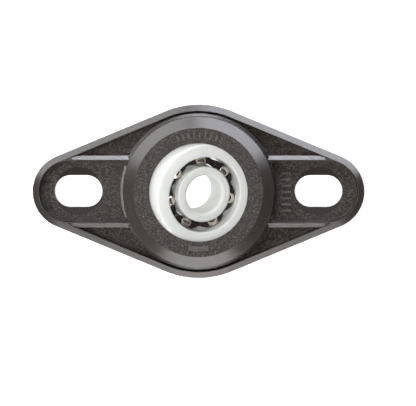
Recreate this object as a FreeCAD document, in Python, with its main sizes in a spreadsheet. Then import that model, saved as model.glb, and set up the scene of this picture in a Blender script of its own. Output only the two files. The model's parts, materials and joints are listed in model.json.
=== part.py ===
import FreeCAD, Part
import math
import os
import Sketcher

# Two-hole flange bearing: a moulded housing with a spherical seat, and a ball bearing whose
# spherical outer ring swivels in it. Millimetres. The mounting face is z = 0 and the origin is
# its centre; +X is the long direction of the flange, +Z the nominal bearing axis.

Vector = FreeCAD.Vector
Y_AXIS = Vector(0, 1, 0)
Z_AXIS = Vector(0, 0, 1)
FULL_TURN = 360.0

DIMENSIONS = [
    # flange outline: a waist circle and two ear circles joined by tangents
    ("waist_radius", 27.7, "outline circle round the hub"),
    ("ear_radius", 12.0, "outline circle round each slot"),
    ("ear_offset", 41.0, "hub axis to ear circle centre"),
    # flange section
    ("plate_height", 4.5, "top of the flange plate"),
    ("ridge_height", 9.5, "top of the rim and the ribs"),
    ("rim_width", 2.1, "rim, outside to inside"),
    ("slope_width", 1.9, "outward slope on top of the rim, in plan"),
    ("slope_angle", 55.5, "that slope, degrees from vertical"),
    ("inner_draft", 3.0, "draft of the walls inside the rim and the ribs, degrees"),
    ("ridge_round", 0.12, "rounding on the edges at the top of the rim and ribs"),
    ("rib_outer", 11.5, "outer side of each rib, from the long axis"),
    ("rib_inset", 1.55, "outline to the ribs' outside where they run into the rim"),
    ("rib_inner", 9.9, "inner side of each rib, from the long axis"),
    ("rib_slope_width", 1.4, "outward slope on top of the ribs, in plan"),
    ("rib_slope_angle", 68.0, "that slope, degrees from vertical"),
    ("web_fillet", 1.3, "upright fillet between each rib and the hub"),
    ("well_start", 19.0, "ear blocks and wells start here, inside the hub"),
    # slots
    ("slot_offset", 38.5, "hub axis to slot centre"),
    ("slot_width", 10.2, "slot across"),
    ("slot_length", 15.3, "slot end to end"),
    ("dish_radius", 7.7, "shallow dish round each slot, at the plate's top"),
    ("dish_depth", 0.7, "depth of that dish"),
    ("dish_floor_radius", 5.0, "where the dish would end inside the slot"),
    # hub
    ("hub_height", 19.0, "hub face"),
    ("hub_foot_radius", 24.95, "hub foot, up to its ledge level with the ribs"),
    ("hub_ledge_width", 0.85, "outward slope of that ledge, in plan"),
    ("hub_ledge_angle", 72.0, "that slope, degrees from vertical"),
    ("hub_bevel_radius", 23.9, "outside of the bevel"),
    ("hub_bevel_height", 16.3, "foot of the bevel"),
    ("hub_face_radius", 20.45, "outside of the flat hub face"),
    ("hub_fillet", 0.25, "fillet round the hub's foot"),
    # seat
    ("seat_height", 12.0, "centre of the spherical seat"),
    ("seat_play", 0.05, "radial play of the outer ring in the seat"),
    ("seat_lip", 6.98, "seat centre to the edge of its back lip"),
    ("relief_radius", 16.0, "relief behind the seat"),
    # insert
    ("rest_tilt", 24.5, "tilt of the insert as modelled, degrees"),
    ("rest_heading", -22.0, "direction of that tilt in the XY plane, degrees"),
    ("ring_sphere", 17.0, "outer ring, radius of its spherical outside"),
    ("ring_width", 11.0, "outer ring width"),
    ("ring_land", 12.1, "outer ring, radius of the land beside its groove"),
    ("ring_edge", 1.0, "rounding on the outer ring's outer edges"),
    ("ring_land_edge", 0.3, "chamfer on the outer ring's inner edges"),
    ("inner_width", 9.8, "inner ring width"),
    ("inner_land", 8.9, "inner ring, radius of the land beside its groove"),
    ("bore_radius", 6.0, "shaft bore"),
    ("bore_edge", 1.0, "rounding on both ends of the bore"),
    ("inner_land_edge", 0.3, "chamfer on the inner ring's outer edges"),
    # balls and cage
    ("ball_radius", 2.381, "3/16 inch ball"),
    ("pitch_radius", 10.4, "ball circle"),
    ("ball_phase", -12.5, "angle of ball 1 in the insert's own frame, degrees"),
    ("ball_count", 7, "balls in the row"),
    ("race_play", 0.03, "play between a ball and each groove"),
    ("groove_radius", 2.476, "groove section, 52 % of a ball's diameter"),
    ("pocket_play", 0.1, "play of a ball in its cage pocket"),
    ("cage_inner", 9.25, "cage inside radius"),
    ("cage_outer", 11.75, "cage outside radius"),
    ("cage_back", 3.5, "ball plane to the cage's back"),
    ("cage_front", 1.55, "ball plane to the tips of the claws"),
    ("outer_scallop", 11.0, "radius of the scallops that waist the cage outside, full height"),
    ("outer_bite", 0.6, "their depth"),
    ("inner_scallop", 5.0, "radius of the scallops inside, claws only"),
    ("inner_bite", 0.4, "their depth"),
    ("scallop_floor", 1.8, "ball plane to the floor of the inner scallops, towards the back"),
    ("notch_radius", 1.05, "notch between the claws of two neighbouring balls"),
]

doc = FreeCAD.newDocument("flange_mount_bearing")
sheet = doc.addObject("Spreadsheet::Sheet", "Sizes")
for row, (alias, number, remark) in enumerate(DIMENSIONS, start=1):
    sheet.set(f"A{row}", alias)
    sheet.set(f"B{row}", str(number))
    sheet.setAlias(f"B{row}", alias)
    sheet.set(f"C{row}", remark)
doc.recompute()


def value(expression):
    """The number an expression on the sheet gives."""
    return float(sheet.evalExpression(expression))


def drive(obj, prop, expression):
    """Bind a property to an expression on the sheet."""
    obj.setExpression(prop, expression)


def origin_plane(body, role):
    return next(f for f in body.Origin.OriginFeatures if f.Role == role)


def new_body(name):
    body = doc.addObject("PartDesign::Body", name)
    body.Label = name
    return body


def new_sketch(body, name, role="XY_Plane", level=None):
    """A sketch on one of the body's own planes, raised to a level where one is given."""
    sketch = body.newObject("Sketcher::SketchObject", name)
    sketch.AttachmentSupport = [(origin_plane(body, role), "")]
    sketch.MapMode = "FlatFace"
    if level:
        drive(sketch, "AttachmentOffset.Base.z", level)
    doc.recompute()
    return sketch


def dimension(sketch, kind, *args):
    """Add a driving dimension; the last argument is its expression."""
    *refs, size = args
    index = sketch.addConstraint(Sketcher.Constraint(kind, *refs, value(size)))
    sketch.setExpression(f"Constraints[{index}]", size)


def pin_point(sketch, geo, pos, x, y):
    """Place a point by expressions; None leaves that coordinate free."""
    for kind, axis, place in (("DistanceX", -2, x), ("DistanceY", -1, y)):
        if place is None:
            continue
        if abs(value(place)) < 1e-9:
            sketch.addConstraint(Sketcher.Constraint("PointOnObject", geo, pos, axis))
        else:
            dimension(sketch, kind, geo, pos, place)


def add_circle(sketch, x, y, radius):
    centre = Vector(value(x), value(y), 0)
    geo = sketch.addGeometry(Part.Circle(centre, Z_AXIS, value(radius)))
    pin_point(sketch, geo, 3, x, y)
    dimension(sketch, "Radius", geo, radius)


def add_outline(sketch, corners, arcs=None):
    """A closed outline, counter-clockwise through corners given as pairs of expressions.

    arcs gives the centre of each arc by the number of the corner it starts at.
    """
    arcs = arcs or {}
    points = [Vector(value(x), value(y), 0) for x, y in corners]
    ends = points[1:] + points[:1]
    edges = []
    for i, (start, end) in enumerate(zip(points, ends)):
        edge = Part.LineSegment(start, end)
        if i in arcs:
            centre = Vector(value(arcs[i][0]), value(arcs[i][1]), 0)
            first, last = [math.atan2(p.y - centre.y, p.x - centre.x) for p in (start, end)]
            circle = Part.Circle(centre, Z_AXIS, centre.distanceToPoint(start))
            edge = Part.ArcOfCircle(circle, first, last)
        edges.append(sketch.addGeometry(edge))
    for i, edge in enumerate(edges):
        following = edges[(i + 1) % len(edges)]
        sketch.addConstraint(Sketcher.Constraint("Coincident", edge, 2, following, 1))
        pin_point(sketch, edge, 1, *corners[i])
    for i, (x, y) in arcs.items():
        # the ends fix the arc but for how far its centre stands from the chord
        chord = ends[i] - points[i]
        upright = abs(chord.y) >= abs(chord.x)
        pin_point(sketch, edges[i], 3, x if upright else None, None if upright else y)


def both_ears(sketch, corners, arcs):
    """The outline of the right ear, and again turned half round for the left one."""
    add_outline(sketch, corners, arcs)
    add_outline(
        sketch,
        [(f"-({x})", f"-({y})") for x, y in corners],
        {i: (f"-({x})", f"-({y})") for i, (x, y) in arcs.items()},
    )


# the unit normal of the tangent that joins the waist to an ear
ACROSS = "((Sizes.waist_radius - Sizes.ear_radius) / Sizes.ear_offset)"
ALONG = f"sqrt(1 - {ACROSS} * {ACROSS})"


def tangent_points(inset):
    """Where the outline, moved inwards, leaves the ear circle and meets the waist circle."""
    ear = f"(Sizes.ear_radius - {inset})"
    waist = f"(Sizes.waist_radius - {inset})"
    return (
        (f"Sizes.ear_offset + {ear} * {ACROSS}", f"{ear} * {ALONG}"),
        (f"{waist} * {ACROSS}", f"{waist} * {ALONG}"),
    )


def add_flange_outline(sketch, inset):
    """The flange outline moved inwards: waist arcs and ear arcs joined by four tangents."""
    (ear_x, ear_y), (waist_x, waist_y) = tangent_points(inset)
    add_outline(
        sketch,
        [
            (ear_x, f"-{ear_y}"),
            (ear_x, ear_y),
            (waist_x, waist_y),
            (f"-{waist_x}", waist_y),
            (f"-({ear_x})", ear_y),
            (f"-({ear_x})", f"-{ear_y}"),
            (f"-{waist_x}", f"-{waist_y}"),
            (waist_x, f"-{waist_y}"),
        ],
        {0: ("Sizes.ear_offset", "0"), 2: ("0", "0"), 4: ("-Sizes.ear_offset", "0"), 6: ("0", "0")},
    )


def add_ear_blocks(sketch):
    """The two ribs' outside on each ear, kept under the rim's slope where they run into it."""
    (ear_x, ear_y), _ = tangent_points("Sizes.rib_inset")
    reach = "(Sizes.waist_radius - Sizes.rib_inset)"
    turn_x = f"({reach} - Sizes.rib_outer * {ALONG}) / {ACROSS}"
    corners = [
        (ear_x, f"-{ear_y}"),
        (ear_x, ear_y),
        (turn_x, "Sizes.rib_outer"),
        ("Sizes.well_start", "Sizes.rib_outer"),
        ("Sizes.well_start", "-Sizes.rib_outer"),
        (turn_x, "-Sizes.rib_outer"),
    ]
    both_ears(sketch, corners, {0: ("Sizes.ear_offset", "0")})


def add_wells(sketch):
    """The U inside the ribs, filleted against the hub's foot."""
    half_width = "Sizes.rib_inner"
    centre_y = "(Sizes.rib_inner - Sizes.web_fillet)"
    reach = "(Sizes.hub_foot_radius + Sizes.web_fillet)"
    centre_x = f"sqrt({reach} * {reach} - {centre_y} * {centre_y})"
    touch_x, touch_y = [f"{c} * Sizes.hub_foot_radius / {reach}" for c in (centre_x, centre_y)]
    corners = [
        ("Sizes.ear_offset", f"-{half_width}"),
        ("Sizes.ear_offset", half_width),
        (centre_x, half_width),
        (touch_x, touch_y),
        ("Sizes.well_start", touch_y),
        ("Sizes.well_start", f"-{touch_y}"),
        (touch_x, f"-{touch_y}"),
        (centre_x, f"-{half_width}"),
    ]
    arcs = {
        0: ("Sizes.ear_offset", "0"),
        2: (centre_x, centre_y),
        6: (centre_x, f"-{centre_y}"),
    }
    both_ears(sketch, corners, arcs)


def add_slots(sketch):
    """Slots with round ends along X."""
    run = "(Sizes.slot_length - Sizes.slot_width) / 2"
    near, far = f"Sizes.slot_offset - {run}", f"Sizes.slot_offset + {run}"
    radius = "Sizes.slot_width / 2"
    corners = [(far, f"-{radius}"), (far, radius), (near, radius), (near, f"-{radius}")]
    both_ears(sketch, corners, {0: (far, "0"), 2: (near, "0")})


def add_feature(body, kind, name, sketch, **settings):
    feature = body.newObject(f"PartDesign::{kind}", name)
    feature.Profile = sketch
    for prop, setting in settings.items():
        if isinstance(setting, str) and "Sizes." in setting:
            drive(feature, prop, setting)
        else:
            setattr(feature, prop, setting)
    sketch.Visibility = False
    doc.recompute()
    return feature


def spin(body, kind, name, sketch):
    """Revolve a sketch a full turn about the vertical axis of its plane."""
    return add_feature(body, kind, name, sketch, ReferenceAxis=(sketch, ["V_Axis"]), Angle=FULL_TURN)


def ring_edges(feature, radius, heights):
    """Names of the feature's round edges about Z with this radius at these heights."""
    found = []
    for number, edge in enumerate(feature.Shape.Edges, start=1):
        curve = edge.Curve
        if not isinstance(curve, Part.Circle) or abs(curve.Radius - radius) > 0.02:
            continue
        if math.hypot(curve.Center.x, curve.Center.y) > 0.02:
            continue
        if any(abs(curve.Center.z - height) < 0.02 for height in heights):
            found.append(f"Edge{number}")
    return found


def level_edges(feature, height):
    """Names of the feature's edges that lie level at this height."""
    return [
        f"Edge{number}"
        for number, edge in enumerate(feature.Shape.Edges, start=1)
        if max(abs(edge.BoundBox.ZMin - height), abs(edge.BoundBox.ZMax - height)) < 0.01
    ]


def dress(body, kind, name, base, edges, size, prop):
    feature = body.newObject(f"PartDesign::{kind}", name)
    feature.Base = (base, edges)
    drive(feature, prop, size)
    doc.recompute()
    return feature


def insert_placement(local=Vector(0, 0, 0)):
    """The placement of a piece of the insert: tilted about the seat's centre."""
    heading = math.radians(value("Sizes.rest_heading"))
    tilt_axis = Vector(-math.sin(heading), math.cos(heading), 0)
    turn = FreeCAD.Rotation(tilt_axis, value("Sizes.rest_tilt"))
    centre = Vector(0, 0, value("Sizes.seat_height"))
    return FreeCAD.Placement(centre + turn.multVec(local), turn)


def build_flange(body):
    """Plate with a raised rim, two ribs along each ear and a well round each slot."""
    slope_drop = "Sizes.slope_width / tan(Sizes.slope_angle * 1deg)"
    rib_drop = "Sizes.rib_slope_width / tan(Sizes.rib_slope_angle * 1deg)"
    side_height = f"Sizes.ridge_height - {slope_drop}"
    rib_side_height = f"Sizes.ridge_height - {rib_drop}"

    block = new_sketch(body, "block_outline")
    add_flange_outline(block, "0")
    add_feature(body, "Pad", "block", block, Length=side_height)

    crest = new_sketch(body, "rim_crest_outline", level=side_height)
    add_flange_outline(crest, "0")
    add_feature(
        body, "Pad", "rim_crest", crest, Length=slope_drop, TaperAngle="-Sizes.slope_angle"
    )

    field = new_sketch(body, "field_outline", level="Sizes.ridge_height")
    add_flange_outline(field, "Sizes.rim_width")
    depth = "Sizes.ridge_height - Sizes.plate_height"
    draft = {"Length": depth, "TaperAngle": "-Sizes.inner_draft"}
    add_feature(body, "Pocket", "field", field, **draft)

    ribs = new_sketch(body, "ear_block_outline", level="Sizes.plate_height")
    add_ear_blocks(ribs)
    add_feature(body, "Pad", "ear_blocks", ribs, Length=f"{rib_side_height} - Sizes.plate_height")

    crests = new_sketch(body, "rib_crest_outline", level=rib_side_height)
    add_ear_blocks(crests)
    add_feature(
        body, "Pad", "rib_crests", crests, Length=rib_drop, TaperAngle="-Sizes.rib_slope_angle"
    )

    wells = new_sketch(body, "well_outline", level="Sizes.ridge_height")
    add_wells(wells)
    wells = add_feature(body, "Pocket", "wells", wells, **draft)
    edges = level_edges(wells, value("Sizes.ridge_height"))
    dress(body, "Fillet", "ridge_edges", wells, edges, "Sizes.ridge_round", "Radius")


def build_hub(body):
    """Round hub with a wide bevel, standing on a foot with a sloping ledge."""
    section = new_sketch(body, "hub_section", role="XZ_Plane")
    ledge_drop = "Sizes.hub_ledge_width / tan(Sizes.hub_ledge_angle * 1deg)"
    corners = [
        ("0", "0"),
        ("Sizes.hub_foot_radius", "0"),
        ("Sizes.hub_foot_radius", f"Sizes.ridge_height - {ledge_drop}"),
        ("Sizes.hub_foot_radius - Sizes.hub_ledge_width", "Sizes.ridge_height"),
        ("Sizes.hub_bevel_radius", "Sizes.hub_bevel_height"),
        ("Sizes.hub_face_radius", "Sizes.hub_height"),
        ("0", "Sizes.hub_height"),
    ]
    add_outline(section, corners)
    hub = spin(body, "Revolution", "hub", section)
    foot = ring_edges(hub, value("Sizes.hub_foot_radius"), [value("Sizes.plate_height")])
    dress(body, "Fillet", "hub_foot_fillet", hub, foot, "Sizes.hub_fillet", "Radius")


def build_seat(body):
    """Spherical seat open to the hub face, with a wider relief behind its back lip."""
    relief = new_sketch(body, "relief_outline")
    add_circle(relief, "0", "0", "Sizes.relief_radius")
    add_feature(
        body, "Pocket", "relief", relief, Length="Sizes.seat_height - Sizes.seat_lip", Reversed=True
    )
    seat = body.newObject("PartDesign::SubtractiveSphere", "seat")
    drive(seat, "Radius", "Sizes.ring_sphere + Sizes.seat_play")
    seat.AttachmentSupport = [(origin_plane(body, "XY_Plane"), "")]
    seat.MapMode = "FlatFace"
    drive(seat, "AttachmentOffset.Base.z", "Sizes.seat_height")
    doc.recompute()


def build_slots(body):
    """A shallow dish and a slot through the plate on each ear."""
    dishes = new_sketch(body, "dish_outline", level="Sizes.plate_height")
    for sign in ("", "-"):
        add_circle(dishes, f"{sign}Sizes.slot_offset", "0", "Sizes.dish_radius")
    lean = "-atan((Sizes.dish_radius - Sizes.dish_floor_radius) / Sizes.dish_depth)"
    add_feature(body, "Pocket", "dishes", dishes, Length="Sizes.dish_depth", TaperAngle=lean)
    slots = new_sketch(body, "slot_outline", level="Sizes.plate_height")
    add_slots(slots)
    add_feature(body, "Pocket", "slots", slots, Length="Sizes.plate_height")


def build_housing():
    body = new_body("housing")
    build_flange(body)
    build_hub(body)
    build_seat(body)
    build_slots(body)
    return body


def build_outer_ring():
    """Ring with a spherical outside and a ball groove inside."""
    body = new_body("outer_ring")
    half = "Sizes.ring_width / 2"
    rim = "sqrt(Sizes.ring_sphere * Sizes.ring_sphere - Sizes.ring_width * Sizes.ring_width / 4)"
    section = new_sketch(body, "ring_section", role="XZ_Plane")
    corners = [(rim, f"-{half}"), (rim, half), ("Sizes.ring_land", half), ("Sizes.ring_land", f"-{half}")]
    add_outline(section, corners, {0: ("0", "0")})
    spin(body, "Revolution", "ring", section)

    groove = new_sketch(body, "groove_section", role="XZ_Plane")
    centre = "Sizes.pitch_radius + Sizes.ball_radius + Sizes.race_play - Sizes.groove_radius"
    add_circle(groove, centre, "0", "Sizes.groove_radius")
    race = spin(body, "Groove", "race", groove)

    faces = [value(half), -value(half)]
    edges = ring_edges(race, value(rim), faces)
    outer = dress(body, "Fillet", "outer_edges", race, edges, "Sizes.ring_edge", "Radius")
    edges = ring_edges(outer, value("Sizes.ring_land"), faces)
    dress(body, "Chamfer", "land_edges", outer, edges, "Sizes.ring_land_edge", "Size")
    body.Placement = insert_placement()
    return body


def build_inner_ring():
    """Ring with the shaft bore inside and a ball groove outside."""
    body = new_body("inner_ring")
    half = "Sizes.inner_width / 2"
    section = new_sketch(body, "inner_section", role="XZ_Plane")
    bore, land = "Sizes.bore_radius", "Sizes.inner_land"
    add_outline(section, [(bore, f"-{half}"), (land, f"-{half}"), (land, half), (bore, half)])
    spin(body, "Revolution", "sleeve", section)

    groove = new_sketch(body, "inner_groove_section", role="XZ_Plane")
    centre = "Sizes.pitch_radius - Sizes.ball_radius - Sizes.race_play + Sizes.groove_radius"
    add_circle(groove, centre, "0", "Sizes.groove_radius")
    race = spin(body, "Groove", "inner_race", groove)

    faces = [value(half), -value(half)]
    edges = ring_edges(race, value(bore), faces)
    bored = dress(body, "Fillet", "bore_edges", race, edges, "Sizes.bore_edge", "Radius")
    edges = ring_edges(bored, value(land), faces)
    dress(body, "Chamfer", "inner_land_edges", bored, edges, "Sizes.inner_land_edge", "Size")
    body.Placement = insert_placement()
    return body


def build_cage():
    """Crown cage: a closed rim at the back and a pair of claws round each ball at the front."""
    body = new_body("cage")
    rim = new_sketch(body, "cage_outline", level="-Sizes.cage_back")
    add_circle(rim, "0", "0", "Sizes.cage_outer")
    add_circle(rim, "0", "0", "Sizes.cage_inner")
    add_feature(body, "Pad", "crown", rim, Length="Sizes.cage_back + Sizes.cage_front")

    # the first ball lies on local +X, and the web beside it half a step further round
    web = "(180deg / Sizes.ball_count)"
    outside = "(Sizes.cage_outer - Sizes.outer_bite + Sizes.outer_scallop)"
    inside = "(Sizes.cage_inner + Sizes.inner_bite - Sizes.inner_scallop)"
    scallops = []
    for side, place, depth in (
        ("outer", outside, "Sizes.cage_front + Sizes.cage_back"),
        ("inner", inside, "Sizes.cage_front + Sizes.scallop_floor"),
    ):
        outline = new_sketch(body, f"{side}_scallop_outline", level="Sizes.cage_front")
        add_circle(outline, f"{place} * cos({web})", f"{place} * sin({web})", f"Sizes.{side}_scallop")
        scallops.append(add_feature(body, "Pocket", f"{side}_scallop", outline, Length=depth))

    section = new_sketch(body, "ball_pocket_section", role="XZ_Plane")
    drive(section, "AttachmentOffset.Base.x", "Sizes.pitch_radius")
    reach = "(Sizes.ball_radius + Sizes.pocket_play)"
    add_outline(section, [("0", f"-{reach}"), ("0", reach)], {0: ("0", "0")})
    pocket = spin(body, "Groove", "ball_pocket", section)

    across_web = new_sketch(body, "claw_notch_outline", role="YZ_Plane")
    across_web.AttachmentOffset = FreeCAD.Placement(Vector(0, 0, 0), FreeCAD.Rotation(Y_AXIS, 1.0))
    drive(across_web, "AttachmentOffset.Rotation.Angle", web)
    add_circle(across_web, "0", "Sizes.cage_front", "Sizes.notch_radius")
    notch = add_feature(
        body, "Pocket", "claw_notch", across_web, Length="Sizes.cage_outer + Sizes.cage_front", Reversed=True
    )

    pattern = body.newObject("PartDesign::PolarPattern", "round_the_cage")
    pattern.Originals = [*scallops, pocket, notch]
    pattern.Axis = (rim, ["N_Axis"])
    pattern.Angle = FULL_TURN
    drive(pattern, "Occurrences", "Sizes.ball_count")
    body.Tip = pattern
    doc.recompute()
    phase = FreeCAD.Placement(Vector(0, 0, 0), FreeCAD.Rotation(Z_AXIS, value("Sizes.ball_phase")))
    body.Placement = insert_placement().multiply(phase)
    return body


def build_ball(number):
    ball = doc.addObject("Part::Sphere", f"ball_{number}")
    ball.Label = f"ball_{number}"
    drive(ball, "Radius", "Sizes.ball_radius")
    step = FULL_TURN / value("Sizes.ball_count")
    turn = math.radians(value("Sizes.ball_phase") + (number - 1) * step)
    local = Vector(math.cos(turn), math.sin(turn), 0) * value("Sizes.pitch_radius")
    ball.Placement = insert_placement(local)
    return ball


pieces = [build_housing(), build_outer_ring(), build_inner_ring(), build_cage()]
for ball_number in range(1, round(value("Sizes.ball_count")) + 1):
    pieces.append(build_ball(ball_number))
doc.recompute()

failed = [o.Label for o in doc.Objects if {"Invalid", "Error"} & set(o.State)]
if failed:
    raise RuntimeError(f"objects that did not build: {failed}")
os.makedirs("parts", exist_ok=True)
for piece in pieces:
    shape = piece.Shape
    if shape.isNull() or not shape.isValid() or len(shape.Solids) != 1:
        raise RuntimeError(f"{piece.Label} is not one valid solid")
    shape.exportStep(f"parts/{piece.Label}.step")
    box = shape.BoundBox
    print(f"{piece.Label}: {shape.Volume:.1f} mm3, z {box.ZMin:.2f} to {box.ZMax:.2f}")
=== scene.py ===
import json
import math

import bmesh
import bpy
from mathutils import Matrix, Vector


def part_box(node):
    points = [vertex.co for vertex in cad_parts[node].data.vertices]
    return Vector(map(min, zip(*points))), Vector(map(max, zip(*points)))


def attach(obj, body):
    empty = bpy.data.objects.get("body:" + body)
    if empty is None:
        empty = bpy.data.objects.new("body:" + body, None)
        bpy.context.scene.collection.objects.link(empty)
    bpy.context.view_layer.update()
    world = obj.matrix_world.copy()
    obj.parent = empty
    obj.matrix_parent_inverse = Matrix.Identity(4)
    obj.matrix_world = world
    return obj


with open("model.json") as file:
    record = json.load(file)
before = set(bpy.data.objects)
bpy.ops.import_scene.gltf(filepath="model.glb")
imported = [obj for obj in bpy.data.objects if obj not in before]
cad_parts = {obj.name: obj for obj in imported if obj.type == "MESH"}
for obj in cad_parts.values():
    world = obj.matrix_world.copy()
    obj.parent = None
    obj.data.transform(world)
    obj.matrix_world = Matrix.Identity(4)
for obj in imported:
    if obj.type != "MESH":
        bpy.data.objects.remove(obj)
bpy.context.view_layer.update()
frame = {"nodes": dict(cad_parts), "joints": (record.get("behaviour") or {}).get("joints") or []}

# Looks of a two-hole flange bearing: a black glass-filled housing and a white swivelling ball
# bearing. Metres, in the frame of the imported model: mounting face at z = 0, hub axis on Z.

MM = 0.001
JOINTS = {joint["name"]: joint for joint in frame["joints"]}
BALLS = sorted(name for name in frame["nodes"] if name.startswith("ball_"))

SEAT_CENTRE = Vector(JOINTS["swivel"]["pos_m"])
HUB_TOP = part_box("housing")[1].z
PLATE_TOP = 4.5 * MM  # floor of the wells round the slots
CREST_BAND = (PLATE_TOP + 4.2 * MM, PLATE_TOP + 5.5 * MM)  # heights of the rim's and ribs' tops
DISH_BAND = (PLATE_TOP - 0.75 * MM, PLATE_TOP + 0.02 * MM)  # heights of the dishes round the slots

# A face's slope, by the Z of its normal: where a test starts to hold, and where it fully does.

IS_LEVEL = (0.985, 0.998)
NO_STEEPER_THAN_DISH = (0.955, 0.962)
STEEPER_THAN_LEVEL = (0.985, 0.975)

# Colours, as linear red, green, blue and alpha. A pair is the two tones that a noise blends.

POLYMER = (0.0265, 0.0196, 0.0160, 1), (0.0325, 0.0245, 0.0203, 1)
POLYMER_FIBRE = (0.095, 0.085, 0.078, 1)
# Pale specks of the grain on level faces, partly painted highlight on its peaks.
POLYMER_SPECK_AND_HIGHLIGHT = (0.122, 0.100, 0.085, 1)
# Painted shade, darkening the dips of the grain on level faces.
POLYMER_HOLLOW_SHADE = (0.010, 0.0076, 0.0064, 1)
# Painted shade, darkening the dishes round the slots.
POLYMER_DISH_SHADE = (0.017, 0.0122, 0.0095, 1)
# Pale edges of the housing: wear, and painted highlight along the edges.
POLYMER_EDGE_WEAR_AND_HIGHLIGHT = (0.20, 0.19, 0.185, 1)
# Paler tones for the marks: painted highlight on the raised marks.
MARK_HIGHLIGHT_TONE = (0.070, 0.060, 0.053, 1), (0.140, 0.125, 0.114, 1)
# Pale edges of the marks: wear, and painted highlight along the edges.
MARK_EDGE_WEAR_AND_HIGHLIGHT = (0.20, 0.19, 0.18, 1)
OUTER_RING = (0.79, 0.81, 0.785, 1), (0.85, 0.865, 0.845, 1)
INNER_RING = (0.725, 0.74, 0.71, 1), (0.785, 0.80, 0.775, 1)
RING_HAIR = (0.68, 0.69, 0.66, 1)
CAGE = (0.012, 0.0085, 0.0070, 1), (0.022, 0.0165, 0.0140, 1)
# Pale edges of the cage: wear, and painted highlight along the edges.
CAGE_EDGE_WEAR_AND_HIGHLIGHT = (0.10, 0.085, 0.075, 1)
STEEL = (0.80, 0.74, 0.68, 1), (0.66, 0.60, 0.54, 1)
FLOOR = (0.90, 0.90, 0.90, 1), (0.92, 0.92, 0.92, 1)
SKY_PALE = (0.42, 0.42, 0.42, 1)
SKY_DARK = (0.10, 0.09, 0.085, 1)


# ---------------------------------------------------------------- material helpers


class Shader:
    """Builds one material's nodes."""

    def __init__(self, name):
        self.material = bpy.data.materials.new(name)
        self.material.use_nodes = True
        self.tree = self.material.node_tree
        self.bsdf = self.tree.nodes["Principled BSDF"]
        self.coords = self.node("ShaderNodeTexCoord").outputs["Object"]

    def node(self, kind, **settings):
        node = self.tree.nodes.new(kind)
        for name, setting in settings.items():
            setattr(node, name, setting)
        return node

    def link(self, source, target):
        self.tree.links.new(source, target)

    def put(self, source, socket):
        """Link a socket, or set a plain value."""
        if isinstance(source, bpy.types.NodeSocket):
            self.link(source, socket)
        else:
            socket.default_value = source

    def feed(self, node, **inputs):
        """Put sockets or plain values on a node's inputs, by name with _ for a space."""
        for name, source in inputs.items():
            self.put(source, node.inputs[name.replace("_", " ")])
        return node

    def fix(self, **values):
        """Set values that are the same all over on the shader's own sockets."""
        for name, setting in values.items():
            self.bsdf.inputs[name.replace("_", " ")].default_value = setting

    def stretched(self, scale, turn=(0.0, 0.0, 0.0)):
        """Object coordinates scaled differently along each axis."""
        mapping = self.node("ShaderNodeMapping")
        return self.feed(mapping, Vector=self.coords, Scale=scale, Rotation=turn).outputs["Vector"]

    def noise(self, scale, detail=4.0, roughness=0.55, vector=None):
        node = self.node("ShaderNodeTexNoise")
        self.feed(node, Vector=vector or self.coords, Scale=scale, Detail=detail, Roughness=roughness)
        return node.outputs["Fac"]

    def spread(self, source, start, end, to_start=0.0, to_end=1.0):
        """Rescale start..end to to_start..to_end, held at those ends."""
        node = self.node("ShaderNodeMapRange")
        self.feed(node, Value=source, From_Min=start, From_Max=end, To_Min=to_start, To_Max=to_end)
        return node.outputs["Result"]

    def math(self, operation, first, second):
        node = self.node("ShaderNodeMath", operation=operation)
        self.put(first, node.inputs[0])
        self.put(second, node.inputs[1])
        return node.outputs["Value"]

    def product(self, first, second):
        return self.math("MULTIPLY", first, second)

    def blend(self, share, first, second):
        """Mix two colours; each is a socket or a colour."""
        node = self.node("ShaderNodeMix", data_type="RGBA")
        self.put(share, node.inputs[0])
        self.put(first, node.inputs[6])
        self.put(second, node.inputs[7])
        return node.outputs[2]

    def height(self, vector):
        """The Z of a vector socket."""
        split = self.node("ShaderNodeSeparateXYZ")
        self.link(vector, split.inputs[0])
        return split.outputs["Z"]

    def facing(self, start, end):
        """Runs from 0 to 1 as the normal's Z, in the piece's own frame, goes from start to end."""
        normal = self.node("ShaderNodeTexCoord").outputs["Normal"]
        return self.spread(self.height(normal), start, end)

    def band(self, low, high):
        """1 where the piece's own Z lies between two levels."""
        height = self.height(self.coords)
        return self.product(self.math("GREATER_THAN", height, low), self.math("LESS_THAN", height, high))

    def rounded(self, radius):
        """The normal as if every edge were rounded to this radius."""
        return self.feed(self.node("ShaderNodeBevel", samples=8), Radius=radius).outputs["Normal"]

    def worn_and_highlit_edges(self, radius, gain=6.0):
        """Rises to 1 where the surface turns a corner within the radius."""
        plain = self.node("ShaderNodeNewGeometry").outputs["Normal"]
        dot = self.node("ShaderNodeVectorMath", operation="DOT_PRODUCT")
        self.link(self.rounded(radius), dot.inputs[0])
        self.link(plain, dot.inputs[1])
        turned = self.math("SUBTRACT", 1.0, dot.outputs["Value"])
        return self.spread(turned, 0.0, 1.0 / gain)

    def bump(self, *layers, normal=None):
        """Stack bump layers on a normal, each (height, distance in metres, strength)."""
        for height, distance, strength in layers:
            node = self.node("ShaderNodeBump")
            self.feed(node, Height=height, Distance=distance, Strength=strength)
            if normal:
                self.link(normal, node.inputs["Normal"])
            normal = node.outputs["Normal"]
        self.link(normal, self.bsdf.inputs["Normal"])


def paint(obj, material):
    obj.data.materials.clear()
    obj.data.materials.append(material)


# ---------------------------------------------------------------- materials


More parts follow.
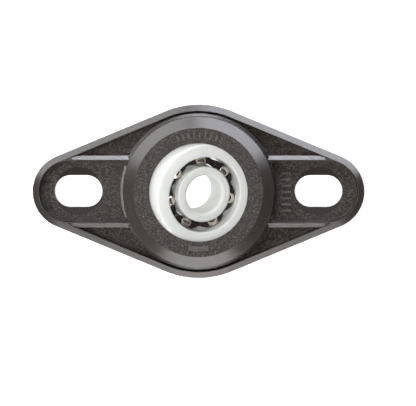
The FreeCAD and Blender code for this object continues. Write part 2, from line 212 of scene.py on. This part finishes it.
def housing_material():
    """Black glass-filled polymer.

    Level faces are grainy, slopes are smoother and the dishes are dull. Painted shade darkens the dishes
    and the dips of the grain, the grain's pale peaks are partly painted highlight, and edges are pale
    from wear and painted highlight.
    """
    s = Shader("housing_polymer")
    off_crests = s.math("SUBTRACT", 1.0, s.band(*CREST_BAND))
    level = s.product(s.facing(*IS_LEVEL), off_crests)
    dish_slope = s.product(s.facing(*NO_STEEPER_THAN_DISH), s.facing(*STEEPER_THAN_LEVEL))
    dish = s.product(dish_slope, s.band(*DISH_BAND))
    grain = s.noise(2300.0, detail=4.0, roughness=0.72)
    pits = s.noise(3100.0, detail=2.0)
    along = s.stretched((1.0, 2.6, 1.4), (0, 0, 0.4))
    fibres = s.noise(700.0, detail=5.0, roughness=0.7, vector=along)
    flow = s.noise(60.0, detail=3.0)

    tone = s.blend(s.spread(flow, 0.3, 0.7), *POLYMER)
    tone = s.blend(s.spread(fibres, 0.50, 0.80, 0.0, 0.45), tone, POLYMER_FIBRE)
    # The grain's peaks on level faces turn paler: mottled grain, and partly painted highlight.
    specks_and_highlight = s.product(s.spread(grain, 0.50, 0.64), level)
    tone = s.blend(s.product(specks_and_highlight, 0.85), tone, POLYMER_SPECK_AND_HIGHLIGHT)
    # Painted shade: the dips of the grain on level faces are darkened.
    hollow_shade = s.product(s.spread(grain, 0.565, 0.45), level)
    tone = s.blend(s.product(hollow_shade, 0.95), tone, POLYMER_HOLLOW_SHADE)
    # Painted shade: the dishes round the slots are darkened.
    tone = s.blend(s.product(dish, 0.9), tone, POLYMER_DISH_SHADE)
    # Pale edges: wear, and painted highlight along the edges.
    tone = s.blend(s.product(s.worn_and_highlit_edges(0.30 * MM), 0.35), tone, POLYMER_EDGE_WEAR_AND_HIGHLIGHT)

    roughness = s.math("ADD", s.spread(pits, 0.3, 0.7, 0.27, 0.35), s.product(level, 0.20))
    roughness = s.math("ADD", roughness, s.product(dish, 0.50))
    s.feed(s.bsdf, Base_Color=tone, Roughness=roughness)
    s.fix(IOR=1.5)
    relief = s.math("ADD", s.product(level, 0.72), 0.12)
    s.bump(
        (flow, 0.30 * MM, 0.10),
        (fibres, 0.05 * MM, 0.20),
        (grain, 0.10 * MM, relief),
        (pits, 0.03 * MM, relief),
        normal=s.rounded(0.22 * MM),
    )
    return s.material


def mark_material():
    """The housing's polymer where the mould was engraved: smoother, and toned paler, which is painted
    highlight on the raised marks.
    """
    s = Shader("mark_polymer")
    fibres = s.noise(900.0, detail=4.0, roughness=0.7)
    # Painted highlight: the marks are toned paler than the housing's polymer.
    tone = s.blend(s.spread(fibres, 0.35, 0.75), *MARK_HIGHLIGHT_TONE)
    # Pale edges: wear, and painted highlight along the edges.
    tone = s.blend(s.product(s.worn_and_highlit_edges(0.10 * MM), 0.4), tone, MARK_EDGE_WEAR_AND_HIGHLIGHT)
    s.feed(s.bsdf, Base_Color=tone, Roughness=s.spread(fibres, 0.3, 0.7, 0.30, 0.40))
    s.bump((fibres, 0.03 * MM, 0.25), normal=s.rounded(0.08 * MM))
    return s.material


def ring_material(name, dark, pale):
    """White polymer that lets light bleed through, satin, with faint clouding and hair marks."""
    s = Shader(name)
    cloud = s.noise(160.0, detail=3.0)
    hair = s.noise(700.0, detail=4.0, vector=s.stretched((1.0, 1.0, 7.0)))
    tone = s.blend(s.spread(cloud, 0.3, 0.7), dark, pale)
    tone = s.blend(s.spread(hair, 0.62, 0.85, 0.0, 0.25), tone, RING_HAIR)
    s.feed(s.bsdf, Base_Color=tone, Roughness=s.spread(hair, 0.3, 0.7, 0.34, 0.46))
    s.fix(Subsurface_Weight=0.62, Subsurface_Radius=(1.0, 1.0, 0.9), Subsurface_Scale=3.5 * MM)
    s.bump((cloud, 0.05 * MM, 0.10), (hair, 0.01 * MM, 0.25), normal=s.rounded(0.30 * MM))
    return s.material


def cage_material():
    """Smooth brown-black cage polymer with a faint mottling."""
    s = Shader("cage_polymer")
    cloud = s.noise(900.0, detail=3.0)
    tone = s.blend(s.spread(cloud, 0.35, 0.7), *CAGE)
    # Pale edges: wear, and painted highlight along the edges.
    tone = s.blend(s.product(s.worn_and_highlit_edges(0.12 * MM), 0.2), tone, CAGE_EDGE_WEAR_AND_HIGHLIGHT)
    s.feed(s.bsdf, Base_Color=tone, Roughness=s.spread(cloud, 0.3, 0.7, 0.32, 0.46))
    s.bump((cloud, 0.02 * MM, 0.3), normal=s.rounded(0.12 * MM))
    return s.material


def ball_material():
    """Polished stainless steel with light running marks."""
    s = Shader("ball_steel")
    marks = s.noise(1400.0, detail=3.0, vector=s.stretched((1.0, 5.0, 1.0)))
    tone = s.blend(s.spread(marks, 0.4, 0.8), *STEEL)
    s.feed(s.bsdf, Base_Color=tone, Roughness=s.spread(marks, 0.3, 0.7, 0.06, 0.13))
    s.fix(Metallic=1.0)
    s.bump((marks, 0.005 * MM, 0.15))
    return s.material


# ---------------------------------------------------------------- moulded marks

MARK_HEIGHT = 0.28 * MM
MARK_SINK = 0.05 * MM
MARK_SHOULDER = 0.06 * MM
BAR_WIDTH = 0.60 * MM

CLOCK_CENTRE = Vector((-29.4 * MM, 6.0 * MM, PLATE_TOP))
CLOCK_RING = 2.1 * MM
CLOCK_TICKS = (2.55 * MM, 3.25 * MM)  # inner and outer end of each
CLOCK_POINTER = (-1.2 * MM, 1.3 * MM)  # tail and tip, along its direction
CLOCK_TIME = 78  # the pointer's direction, degrees from +X
CLOCK_BARB = 0.9 * MM
CLOCK_LINE = 0.30 * MM
CLOCK_BOLD_LINE = 0.34 * MM

TALLY_CENTRE = Vector((28.1 * MM, -0.3 * MM, PLATE_TOP))
TALLY_PITCH = 2.00 * MM
TALLY_LENGTH = 2.9 * MM

HUB_FACE = Vector((0, 0, HUB_TOP))
DASH_REACH = (17.1 * MM, 19.0 * MM)  # inner and outer end of each
BLANK_RADIUS = 17.9 * MM
BLANK_WIDTH = 1.50 * MM


def ribbon(mesh, path, width, closed=False):
    """A low raised line with sloping sides along a level path."""
    half = width / 2
    shoulder = min(MARK_SHOULDER, half / 3)
    shoulder_height = MARK_HEIGHT * 0.65
    profile = [
        (half, -MARK_SINK),
        (half - shoulder / 2, shoulder_height),
        (half - shoulder * 1.5, MARK_HEIGHT),
        (shoulder * 1.5 - half, MARK_HEIGHT),
        (shoulder / 2 - half, shoulder_height),
        (-half, -MARK_SINK),
    ]
    count = len(path)
    rows = []
    for i, point in enumerate(path):
        ahead = path[(i + 1) % count] if closed or i < count - 1 else point
        behind = path[i - 1] if closed or i else point
        along = (ahead - behind).normalized()
        side = Vector((along.y, -along.x, 0))
        rows.append([mesh.verts.new(point + side * x + Vector((0, 0, z))) for x, z in profile])
    spans = list(zip(rows, rows[1:])) + ([(rows[-1], rows[0])] if closed else [])
    for first, second in spans:
        for i in range(len(profile) - 1):
            mesh.faces.new((first[i], first[i + 1], second[i + 1], second[i]))
    if not closed:
        mesh.faces.new(reversed(rows[0]))
        mesh.faces.new(rows[-1])


def heading(degrees):
    """The level unit vector at an angle from +X."""
    turn = math.radians(degrees)
    return Vector((math.cos(turn), math.sin(turn), 0))


def arc_path(centre, radius, start, end, steps):
    """Points along an arc, angles in degrees."""
    return [centre + heading(start + (end - start) * i / steps) * radius for i in range(steps + 1)]


def spoke(centre, inner, outer, degrees):
    """A short straight path pointing away from a centre."""
    return [centre + heading(degrees) * inner, centre + heading(degrees) * outer]


def finish_mark(mesh, name):
    bmesh.ops.recalc_face_normals(mesh, faces=mesh.faces)
    data = bpy.data.meshes.new(name)
    mesh.to_mesh(data)
    mesh.free()
    mark = bpy.data.objects.new(name, data)
    bpy.context.scene.collection.objects.link(mark)
    return mark


def date_clock():
    """A mould maker's dial: a ring, twelve ticks and a pointer with two barbs."""
    mesh = bmesh.new()
    sides = 48
    ring = arc_path(CLOCK_CENTRE, CLOCK_RING, 0, 360 - 360 / sides, sides - 1)
    ribbon(mesh, ring, CLOCK_LINE, closed=True)
    for hour in range(12):
        ribbon(mesh, spoke(CLOCK_CENTRE, *CLOCK_TICKS, hour * 30), CLOCK_BOLD_LINE)
    pointer = spoke(CLOCK_CENTRE, *CLOCK_POINTER, CLOCK_TIME)
    ribbon(mesh, pointer, CLOCK_BOLD_LINE)
    for splay in (150, 210):
        ribbon(mesh, spoke(pointer[1], 0, CLOCK_BARB, CLOCK_TIME + splay), CLOCK_LINE)
    return finish_mark(mesh, "date_clock")


def tally_bars(count):
    """A column of plain bars."""
    mesh = bmesh.new()
    reach = Vector((TALLY_LENGTH / 2, 0, 0))
    for i in range(count):
        middle = TALLY_CENTRE + Vector((0, (i - (count - 1) / 2) * TALLY_PITCH, 0))
        ribbon(mesh, [middle - reach, middle + reach], BAR_WIDTH)
    return finish_mark(mesh, "tally_bars")


def hub_dashes(start, end, count):
    """Plain dashes on the hub face that point away from its centre, spread between two angles."""
    mesh = bmesh.new()
    for i in range(count):
        degrees = start + (end - start) * i / (count - 1)
        ribbon(mesh, spoke(HUB_FACE, *DASH_REACH, degrees), BAR_WIDTH)
    return finish_mark(mesh, "hub_dashes")


def hub_blank(start, end):
    """One broad plain bar that curves with the hub face between two angles."""
    mesh = bmesh.new()
    ribbon(mesh, arc_path(HUB_FACE, BLANK_RADIUS, start, end, 16), BLANK_WIDTH)
    return finish_mark(mesh, "hub_blank")


def add_marks(material):
    marks = [
        date_clock(),
        tally_bars(count=7),
        hub_dashes(start=66, end=111, count=9),
        hub_blank(start=260, end=280),
    ]
    for mark in marks:
        paint(mark, material)
        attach(mark, "housing")


# ---------------------------------------------------------------- studio

FLOOR_SIZE = 6.0
FLOOR_DROP = 0.2 * MM  # below the mounting face
FLOOR_GLOW = 0.75

LAMP_DISTANCE = 0.60
FILL_DISTANCE = 1.20
COOL = (0.90, 0.92, 1.0)
NEUTRAL = (0.97, 0.98, 1.0)
WHITE = (1, 1, 1)

SKY_HEIGHTS = (0.30, 0.92)  # Z of a direction where the surroundings are pale, and where dark
SKY_FADE = (0.35, 0.90)  # X of a direction where they start to fade, and where they are faintest
SKY_FAINTEST = 0.15

CAMERA_DISTANCE = 1.0
CAMERA_LEAN = math.radians(2.0)  # from straight above towards +Y
CAMERA_TARGET = Vector((3.03 * MM, -3.67 * MM, 9.0 * MM))
CAMERA_SENSOR = 36.0  # millimetres, as Blender has it
VIEW_WIDTH = 132.8 * MM  # seen at the target's distance


def floor_material():
    """Pale floor that glows a little, as a light table does."""
    s = Shader("studio_floor")
    cloud = s.noise(3.0)
    tone = s.blend(s.spread(cloud, 0.3, 0.7), *FLOOR)
    s.feed(s.bsdf, Base_Color=tone, Roughness=0.8)
    s.fix(Emission_Color=(1, 1, 1, 1), Emission_Strength=FLOOR_GLOW)
    return s.material


def add_floor():
    bpy.ops.mesh.primitive_plane_add(size=FLOOR_SIZE, location=(0, 0, -FLOOR_DROP))
    floor = bpy.context.object
    floor.name = "studio_floor"
    paint(floor, floor_material())


def add_softbox(name, azimuth, elevation, size, radiance, colour=WHITE, fill=False):
    """A rectangular lamp that faces the bearing, placed by angles in degrees, unseen by the camera.

    A fill lamp only lights the piece evenly; the others only make its reflections.
    """
    rise = math.radians(elevation)
    out = heading(azimuth) * math.cos(rise) + Vector((0, 0, math.sin(rise)))
    data = bpy.data.lights.new(name, "AREA")
    data.shape = "RECTANGLE"
    data.size, data.size_y = size
    data.energy = radiance * math.pi * size[0] * size[1]
    data.color = colour
    lamp = bpy.data.objects.new(name, data)
    bpy.context.scene.collection.objects.link(lamp)
    lamp.location = SEAT_CENTRE + out * (FILL_DISTANCE if fill else LAMP_DISTANCE)
    lamp.rotation_euler = (-out).to_track_quat("-Z", "Y").to_euler()
    lamp.visible_camera = False
    lamp.visible_glossy = not fill
    lamp.visible_diffuse = fill


def add_lights():
    """Each kind of slope has a lamp about where it mirrors the camera; a small one adds glints."""
    add_softbox("upper_softbox", 60, 17.5, (0.72, 0.20), 12.0, COOL)
    add_softbox("upper_left_softbox", 128, 16.5, (0.66, 0.18), 7.7, NEUTRAL)
    add_softbox("lower_softbox", 270, 12.5, (0.62, 0.16), 8.0)
    add_softbox("upper_rib_softbox", 90, 46, (0.20, 0.10), 37.0, COOL)
    add_softbox("lower_rib_softbox", 270, 46, (0.20, 0.10), 14.0)
    add_softbox("ledge_softbox", 180, 54, (0.26, 0.05), 30.0)
    add_softbox("sparkle", 138, 50, (0.05, 0.05), 20.0)
    add_softbox("front_fill", 180, 80, (0.60, 0.60), 12.5, fill=True)


def add_world():
    """Soft grey surroundings, darkest overhead where the camera stands and fading towards +X."""
    world = bpy.data.worlds.new("studio")
    world.use_nodes = True
    tree = world.node_tree
    background = tree.nodes["Background"]
    coords = tree.nodes.new("ShaderNodeTexCoord")
    split = tree.nodes.new("ShaderNodeSeparateXYZ")
    ramp = tree.nodes.new("ShaderNodeValToRGB")
    side = tree.nodes.new("ShaderNodeMapRange")
    stops = ramp.color_ramp.elements
    for stop, position, colour in zip(stops, SKY_HEIGHTS, (SKY_PALE, SKY_DARK)):
        stop.position = position
        stop.color = colour
    for name, setting in zip(("From Min", "From Max"), SKY_FADE):
        side.inputs[name].default_value = setting
    side.inputs["To Min"].default_value = 1.0
    side.inputs["To Max"].default_value = SKY_FAINTEST
    tree.links.new(coords.outputs["Generated"], split.inputs[0])
    tree.links.new(split.outputs["Z"], ramp.inputs[0])
    tree.links.new(split.outputs["X"], side.inputs["Value"])
    tree.links.new(ramp.outputs["Color"], background.inputs["Color"])
    tree.links.new(side.outputs["Result"], background.inputs["Strength"])
    bpy.context.scene.world = world


def add_camera():
    """Looks almost straight down on the hub face."""
    back = Vector((0, math.sin(CAMERA_LEAN), math.cos(CAMERA_LEAN)))
    right = Vector((1, 0, 0))
    up = back.cross(right)
    data = bpy.data.cameras.new("camera")
    data.sensor_width = CAMERA_SENSOR
    data.lens = CAMERA_SENSOR * CAMERA_DISTANCE / VIEW_WIDTH
    data.clip_start = 0.05
    data.clip_end = 20.0
    camera = bpy.data.objects.new("camera", data)
    bpy.context.scene.collection.objects.link(camera)
    turn = Matrix((right, up, back)).transposed()
    camera.matrix_world = Matrix.Translation(CAMERA_TARGET + back * CAMERA_DISTANCE) @ turn.to_4x4()
    bpy.context.scene.camera = camera


# ---------------------------------------------------------------- assembly

looks = {
    "housing": housing_material(),
    "outer_ring": ring_material("outer_ring_polymer", *OUTER_RING),
    "inner_ring": ring_material("inner_ring_polymer", *INNER_RING),
    "cage": cage_material(),
}
looks.update(dict.fromkeys(BALLS, ball_material()))
for node_name, material in looks.items():
    paint(frame["nodes"][node_name], material)
add_marks(mark_material())

add_floor()
add_lights()
add_world()
add_camera()
bpy.context.scene.view_settings.view_transform = "Standard"
